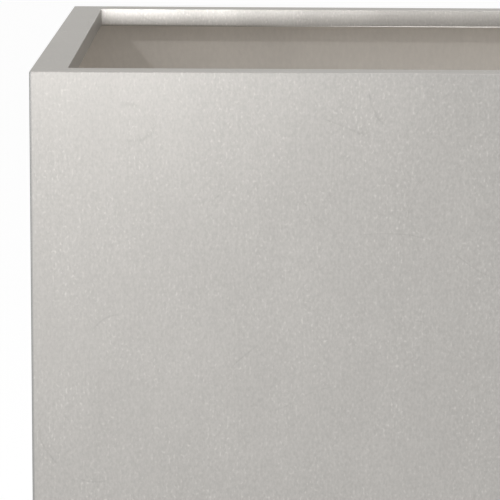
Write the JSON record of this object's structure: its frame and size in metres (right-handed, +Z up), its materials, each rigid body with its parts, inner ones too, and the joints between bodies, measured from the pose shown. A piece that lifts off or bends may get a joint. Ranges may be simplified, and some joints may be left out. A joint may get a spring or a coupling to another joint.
{
  "type": "rectangular planter",
  "caption": "Rectangular floor planter of folded brushed stainless sheet with a flat inward rim, a hemmed lip, a base with drain plugs and levelling feet.",
  "frame": {"origin": "on the floor under the middle of the box", "axes": "+X along the long walls, -Y the front, +Z up"},
  "size_m": [0.8, 0.4, 0.4],
  "materials": {
    "brushed_stainless": "satin brushed, upright grain",
    "ground_weld": "ground flush",
    "mill_stainless": "dull mill finish",
    "zinc_steel": "bright zinc plate",
    "grey_sealant": "tooled bead, matt",
    "black_nylon": "moulded, fine grain",
    "black_rubber": "moulded rubber"
  },
  "bodies": {
    "planter": {"front_panel": "brushed_stainless", "back_panel": "brushed_stainless", "left_panel": "brushed_stainless", "right_panel": "brushed_stainless", "corner_weld_front_left": "ground_weld", "corner_weld_front_right": "ground_weld", "corner_weld_back_right": "ground_weld", "corner_weld_back_left": "ground_weld", "rim_corner_plates": "mill_stainless", "base_pan": "mill_stainless", "base_rail_left": "mill_stainless", "base_rail_middle": "mill_stainless", "base_rail_right": "mill_stainless", "front_stiffener": "mill_stainless", "back_stiffener": "mill_stainless", "base_seal": "grey_sealant", "rivet_nuts": "zinc_steel", "lock_nuts": "zinc_steel"},
    "foot_front_left": {"foot_stud_front_left": "zinc_steel", "foot_pad_front_left": "black_nylon", "foot_sole_front_left": "black_rubber"},
    "foot_front_right": {"foot_stud_front_right": "zinc_steel", "foot_pad_front_right": "black_nylon", "foot_sole_front_right": "black_rubber"},
    "foot_back_right": {"foot_stud_back_right": "zinc_steel", "foot_pad_back_right": "black_nylon", "foot_sole_back_right": "black_rubber"},
    "foot_back_left": {"foot_stud_back_left": "zinc_steel", "foot_pad_back_left": "black_nylon", "foot_sole_back_left": "black_rubber"},
    "plug_left": {"drain_plug_left": "black_rubber"},
    "plug_right": {"drain_plug_right": "black_rubber"}
  },
  "joints": [
    {"name": "foot_front_left_travel", "type": "slide", "parent": "planter", "child": "foot_front_left", "axis": [0, 0, -1], "range_m": [0, 0.015]},
    {"name": "foot_front_right_travel", "type": "slide", "parent": "planter", "child": "foot_front_right", "axis": [0, 0, -1], "range_m": [0, 0.015]},
    {"name": "foot_back_right_travel", "type": "slide", "parent": "planter", "child": "foot_back_right", "axis": [0, 0, -1], "range_m": [0, 0.015]},
    {"name": "foot_back_left_travel", "type": "slide", "parent": "planter", "child": "foot_back_left", "axis": [0, 0, -1], "range_m": [0, 0.015]},
    {"name": "plug_left_pull", "type": "slide", "parent": "planter", "child": "plug_left", "axis": [0, 0, 1], "range_m": [0, 0.04]},
    {"name": "plug_right_pull", "type": "slide", "parent": "planter", "child": "plug_right", "axis": [0, 0, 1], "range_m": [0, 0.04]}
  ]
}
